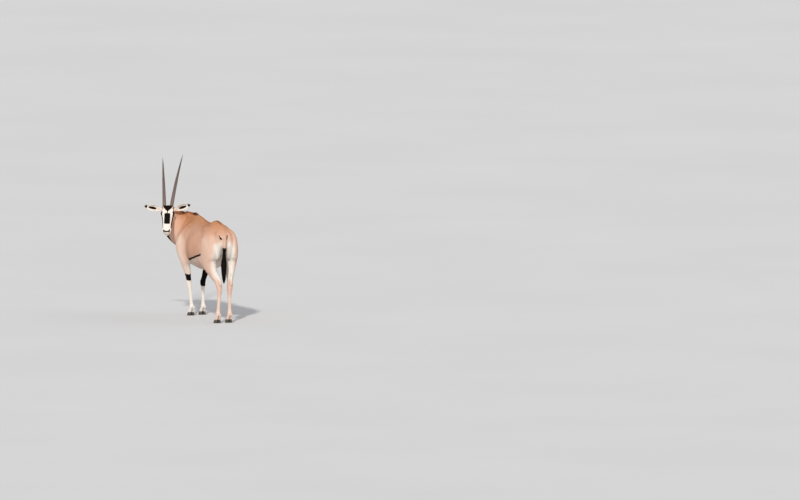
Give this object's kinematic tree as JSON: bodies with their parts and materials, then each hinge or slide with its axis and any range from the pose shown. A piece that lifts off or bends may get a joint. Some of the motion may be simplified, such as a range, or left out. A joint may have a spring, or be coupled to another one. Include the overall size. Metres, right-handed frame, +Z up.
{
  "type": "beisa oryx",
  "caption": "Life-size beisa oryx standing still, its head turned back over the left flank to face the viewer, long ringed horns, black face and flank marks, tasselled tail.",
  "frame": {"origin": "centre of the whole model's box in plan, on the floor that the hooves stand on", "axes": "+X towards the animal's left, +Y from its chest towards its tail, +Z up"},
  "size_m": [0.7617, 1.8667, 1.809],
  "materials": {
    "hide": "short flat pinkish-fawn coat with black and white markings",
    "tail_hair": "short fawn coat on the dock, long black hair below",
    "horn": "dull grey-brown keratin, ringed below and smooth at the tip",
    "hoof": "dark keratin",
    "eye": "polished dark brown"
  },
  "bodies": {
    "root": {"torso": "hide", "neck": "hide", "head": "hide", "ear_left": "hide", "ear_right": "hide", "eye_left": "eye", "eye_right": "eye", "horn_left": "horn", "horn_right": "horn", "tail": "tail_hair", "leg_front_left": "hide", "leg_front_right": "hide", "leg_hind_left": "hide", "leg_hind_right": "hide", "hoof_front_left_outer": "hoof", "hoof_front_left_inner": "hoof", "hoof_front_right_outer": "hoof", "hoof_front_right_inner": "hoof", "hoof_hind_left_outer": "hoof", "hoof_hind_left_inner": "hoof", "hoof_hind_right_outer": "hoof", "hoof_hind_right_inner": "hoof"}
  },
  "joints": []
}
